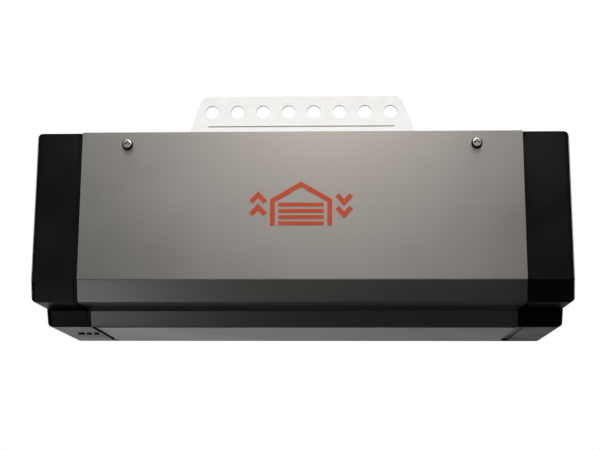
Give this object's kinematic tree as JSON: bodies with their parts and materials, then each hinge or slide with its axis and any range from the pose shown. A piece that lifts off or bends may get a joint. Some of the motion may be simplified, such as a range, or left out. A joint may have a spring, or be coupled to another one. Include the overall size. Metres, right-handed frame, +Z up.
{
  "type": "garage door opener",
  "caption": "Garage door opener head with a folded steel hood between moulded end caps, a worm gear motor under a rail cradle and a perforated bracket for ceiling straps.",
  "frame": {"origin": "on the front face of the bracket's upright flange, in the middle of its row of holes", "axes": "+X along the width, -Y out of the front panel and away from the door, +Z up"},
  "size_m": [0.3824, 0.1582, 0.1858],
  "materials": {
    "brushed_steel": "brushed stainless sheet, grain along the width",
    "galvanised": "galvanised sheet with a soft spangle",
    "bright_steel": "bright zinc-plated steel",
    "cap_plastic": "black moulded plastic with a fine satin texture",
    "button_plastic": "dark grey moulded plastic",
    "black_plastic": "black moulded plastic",
    "grey_plastic": "dark grey plastic",
    "white_plastic": "white moulded plastic",
    "opal": "grey translucent diffuser with a fine texture",
    "cast_aluminium": "die-cast aluminium",
    "bronze": "sintered bronze",
    "copper": "enamelled copper",
    "circuit_board": "green solder mask",
    "dark_iron": "dark plated steel",
    "nylon": "natural engineering plastic"
  },
  "bodies": {
    "head": {"board_bracket": "galvanised", "bracket_bolt_left_1": "bright_steel", "bracket_bolt_left_2": "bright_steel", "bracket_bolt_right_1": "bright_steel", "bracket_bolt_right_2": "bright_steel", "button_board": "circuit_board", "cap_screw_left_1": "bright_steel", "cap_screw_left_2": "bright_steel", "cap_screw_right_1": "bright_steel", "cap_screw_right_2": "bright_steel", "chassis_plate": "galvanised", "control_board": "circuit_board", "end_cap_left": "cap_plastic", "end_cap_right": "cap_plastic", "front_hood": "brushed_steel", "gearbox_cover": "cast_aluminium", "gearbox_housing": "cast_aluminium", "hall_sensor_board": "circuit_board", "hood_screw_left": "bright_steel", "hood_screw_right": "bright_steel", "lamp_tray": "white_plastic", "led_board": "white_plastic", "light_cover_pin": "bright_steel", "lower_bearing": "bright_steel", "magnet_lower": "dark_iron", "magnet_upper": "dark_iron", "mains_inlet": "black_plastic", "motor_can": "dark_iron", "motor_end_bell": "black_plastic", "motor_rear_bush": "bronze", "radio_module": "circuit_board", "rail_cradle": "galvanised", "rear_cover": "galvanised", "rear_screw_left": "bright_steel", "rear_screw_right": "bright_steel", "relay_close": "grey_plastic", "relay_open": "grey_plastic", "smoothing_capacitor": "black_plastic", "suspension_bracket": "galvanised", "terminal_block": "grey_plastic", "transformer_coil": "copper", "transformer_core": "dark_iron", "transformer_strap": "galvanised", "upper_bearing": "bright_steel", "worm_bush": "bronze"},
    "output_gear": {"worm_wheel": "nylon", "output_shaft": "bright_steel", "drive_sprocket": "dark_iron", "shaft_circlip": "dark_iron"},
    "motor_rotor": {"armature_shaft": "bright_steel", "worm": "bright_steel", "armature_core": "dark_iron", "commutator": "copper", "encoder_magnet": "dark_iron"},
    "program_button": {"button_program": "button_plastic"},
    "down_button": {"button_down": "button_plastic"},
    "up_button": {"button_up": "button_plastic"},
    "lamp_cover": {"light_cover": "opal"}
  },
  "joints": [
    {"name": "output_spin", "type": "hinge", "parent": "head", "child": "output_gear", "pos_m": [0.0028, 0.036, -0.0385], "axis": [0, 0, 1], "continuous": true},
    {"name": "motor_spin", "type": "hinge", "parent": "head", "child": "motor_rotor", "pos_m": [0.0028, 0.005, -0.0705], "axis": [1, 0, 0], "continuous": true},
    {"name": "program_press", "type": "slide", "parent": "head", "child": "program_button", "axis": [0, 0, 1], "range_m": [0, 0.0008], "stiffness_N_per_m": 400},
    {"name": "down_press", "type": "slide", "parent": "head", "child": "down_button", "axis": [0, 0, 1], "range_m": [0, 0.0008], "stiffness_N_per_m": 400},
    {"name": "up_press", "type": "slide", "parent": "head", "child": "up_button", "axis": [0, 0, 1], "range_m": [0, 0.0008], "stiffness_N_per_m": 400},
    {"name": "lamp_cover_swing", "type": "hinge", "parent": "head", "child": "lamp_cover", "pos_m": [-0.1507, 0.025, -0.1689], "axis": [0, 1, 0], "range_deg": [0, 85]}
  ],
  "couplings": [
    {"joint": "motor_spin", "follows": "output_spin", "ratio": -40}
  ]
}
